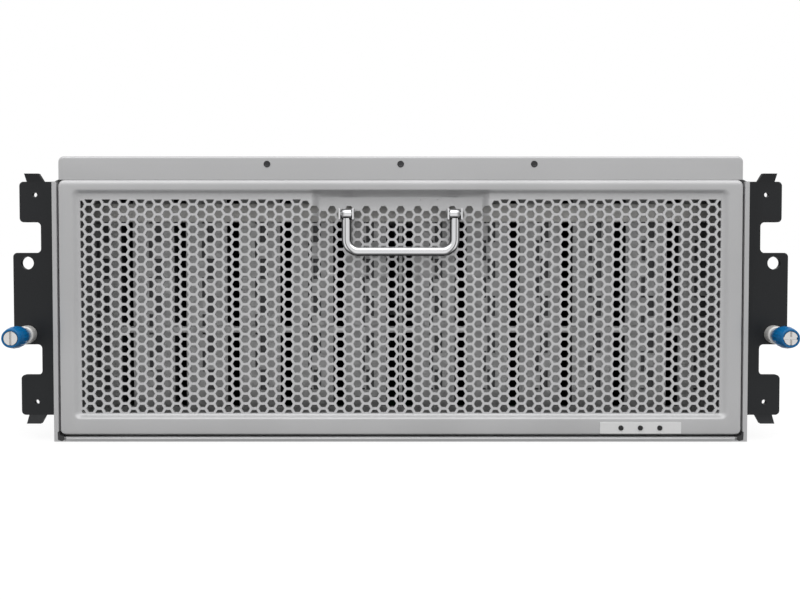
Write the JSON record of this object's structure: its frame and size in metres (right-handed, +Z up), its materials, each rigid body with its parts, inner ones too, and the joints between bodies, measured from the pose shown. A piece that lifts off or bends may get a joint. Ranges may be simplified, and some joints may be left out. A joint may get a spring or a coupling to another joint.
{
  "type": "rack-mount disk enclosure",
  "caption": "Rack-mount top-loading disk enclosure with a perforated front panel, folding bail handle, rack ears with thumbscrews, lift-off cover and rear pull-out modules.",
  "frame": {"origin": "middle of the footprint, on the underside", "axes": "+Z up, front faces -Y, +X on the right of someone who faces the front"},
  "size_m": [0.4826, 0.89, 0.177],
  "materials": {
    "silver_paint": "satin",
    "black_paint": "satin",
    "galvanised": "satin",
    "bright_steel": "gloss",
    "chrome_plate": "gloss",
    "drive_case": "satin",
    "blue_plastic": "satin",
    "black_plastic": "matte",
    "release_plastic": "matte",
    "label_film": "matte",
    "smoked_lens": "gloss",
    "circuit_board": "matte"
  },
  "bodies": {
    "chassis": {"chassis_tray": "silver_paint", "front_panel": "silver_paint", "handle_pocket": "silver_paint", "top_header": "silver_paint", "handle_lugs": "chrome_plate", "left_ear": "black_paint", "right_ear": "black_paint", "ferrules": "bright_steel", "status_label": "label_film", "status_lights": "smoked_lens", "upper_cross_rails": "galvanised", "lower_cross_strips": "galvanised", "centre_divider": "galvanised", "base_board": "circuit_board", "board_standoffs": "bright_steel", "drive_sockets": "black_plastic", "rear_bulkhead": "galvanised", "midplane_board": "circuit_board", "module_connectors": "black_plastic", "module_cage": "galvanised", "drives_row_1": "drive_case", "carriers_row_1": "galvanised", "drives_row_2": "drive_case", "carriers_row_2": "galvanised", "drives_row_3": "drive_case", "carriers_row_3": "galvanised", "drives_row_4": "drive_case", "carriers_row_4": "galvanised", "drives_row_5": "drive_case", "carriers_row_5": "galvanised"},
    "handle": {"pull_handle": "chrome_plate"},
    "cover": {"top_cover": "silver_paint"},
    "left_retaining_collar": {"left_retainer": "bright_steel"},
    "left_thumbscrew": {"left_screw": "bright_steel", "left_knob": "blue_plastic"},
    "right_retaining_collar": {"right_retainer": "bright_steel"},
    "right_thumbscrew": {"right_screw": "bright_steel", "right_knob": "blue_plastic"},
    "fan_1": {"fan_1_housing": "black_plastic"},
    "fan_1_wheel": {"fan_1_rotor": "black_plastic"},
    "fan_2": {"fan_2_housing": "black_plastic"},
    "fan_2_wheel": {"fan_2_rotor": "black_plastic"},
    "fan_3": {"fan_3_housing": "black_plastic"},
    "fan_3_wheel": {"fan_3_rotor": "black_plastic"},
    "fan_4": {"fan_4_housing": "black_plastic"},
    "fan_4_wheel": {"fan_4_rotor": "black_plastic"},
    "left_supply": {"left_power_supply": "galvanised", "left_supply_face": "black_plastic"},
    "left_latch": {"left_supply_latch": "release_plastic"},
    "right_supply": {"right_power_supply": "galvanised", "right_supply_face": "black_plastic"},
    "right_latch": {"right_supply_latch": "release_plastic"},
    "left_io": {"left_io_module": "galvanised", "left_io_face": "black_plastic"},
    "left_lever": {"left_io_lever": "bright_steel"},
    "right_io": {"right_io_module": "galvanised", "right_io_face": "black_plastic"},
    "right_lever": {"right_io_lever": "bright_steel"}
  },
  "joints": [
    {"name": "handle_swing", "type": "hinge", "parent": "chassis", "child": "handle", "pos_m": [0, -0.42695, 0.1411], "axis": [-1, 0, 0], "range_deg": [0, 90]},
    {"name": "cover_lift", "type": "slide", "parent": "chassis", "child": "cover", "axis": [0, 0, 1], "range_m": [0, 0.2]},
    {"name": "left_thumbscrew_back", "type": "slide", "parent": "chassis", "child": "left_retaining_collar", "axis": [0, -1, 0], "range_m": [0, 0.006]},
    {"name": "left_thumbscrew_turn", "type": "hinge", "parent": "left_retaining_collar", "child": "left_thumbscrew", "pos_m": [-0.23255, -0.43015, 0.06628], "axis": [0, 1, 0], "continuous": true},
    {"name": "right_thumbscrew_back", "type": "slide", "parent": "chassis", "child": "right_retaining_collar", "axis": [0, -1, 0], "range_m": [0, 0.006]},
    {"name": "right_thumbscrew_turn", "type": "hinge", "parent": "right_retaining_collar", "child": "right_thumbscrew", "pos_m": [0.23255, -0.43015, 0.06628], "axis": [0, 1, 0], "continuous": true},
    {"name": "fan_1_pull", "type": "slide", "parent": "chassis", "child": "fan_1", "axis": [0, 1, 0], "range_m": [0, 0.09]},
    {"name": "fan_1_spin", "type": "hinge", "parent": "fan_1", "child": "fan_1_wheel", "pos_m": [-0.1602, 0.39265, 0.12235], "axis": [0, 1, 0], "continuous": true},
    {"name": "fan_2_pull", "type": "slide", "parent": "chassis", "child": "fan_2", "axis": [0, 1, 0], "range_m": [0, 0.09]},
    {"name": "fan_2_spin", "type": "hinge", "parent": "fan_2", "child": "fan_2_wheel", "pos_m": [-0.0534, 0.39265, 0.12235], "axis": [0, 1, 0], "continuous": true},
    {"name": "fan_3_pull", "type": "slide", "parent": "chassis", "child": "fan_3", "axis": [0, 1, 0], "range_m": [0, 0.09]},
    {"name": "fan_3_spin", "type": "hinge", "parent": "fan_3", "child": "fan_3_wheel", "pos_m": [0.0534, 0.39265, 0.12235], "axis": [0, 1, 0], "continuous": true},
    {"name": "fan_4_pull", "type": "slide", "parent": "chassis", "child": "fan_4", "axis": [0, 1, 0], "range_m": [0, 0.09]},
    {"name": "fan_4_spin", "type": "hinge", "parent": "fan_4", "child": "fan_4_wheel", "pos_m": [0.1602, 0.39265, 0.12235], "axis": [0, 1, 0], "continuous": true},
    {"name": "left_supply_pull", "type": "slide", "parent": "chassis", "child": "left_supply", "axis": [0, 1, 0], "range_m": [0, 0.225]},
    {"name": "left_latch_press", "type": "slide", "parent": "left_supply", "child": "left_latch", "axis": [-1, 0, 0], "range_m": [0, 0.004]},
    {"name": "right_supply_pull", "type": "slide", "parent": "chassis", "child": "right_supply", "axis": [0, 1, 0], "range_m": [0, 0.225]},
    {"name": "right_latch_press", "type": "slide", "parent": "right_supply", "child": "right_latch", "axis": [-1, 0, 0], "range_m": [0, 0.004]},
    {"name": "left_io_pull", "type": "slide", "parent": "chassis", "child": "left_io", "axis": [0, 1, 0], "range_m": [0, 0.225]},
    {"name": "left_lever_swing", "type": "hinge", "parent": "left_io", "child": "left_lever", "pos_m": [-0.0954, 0.42575, 0.0119], "axis": [0, 0, 1], "range_deg": [0, 75]},
    {"name": "right_io_pull", "type": "slide", "parent": "chassis", "child": "right_io", "axis": [0, 1, 0], "range_m": [0, 0.225]},
    {"name": "right_lever_swing", "type": "hinge", "parent": "right_io", "child": "right_lever", "pos_m": [0.0114, 0.42575, 0.0119], "axis": [0, 0, 1], "range_deg": [0, 75]}
  ]
}
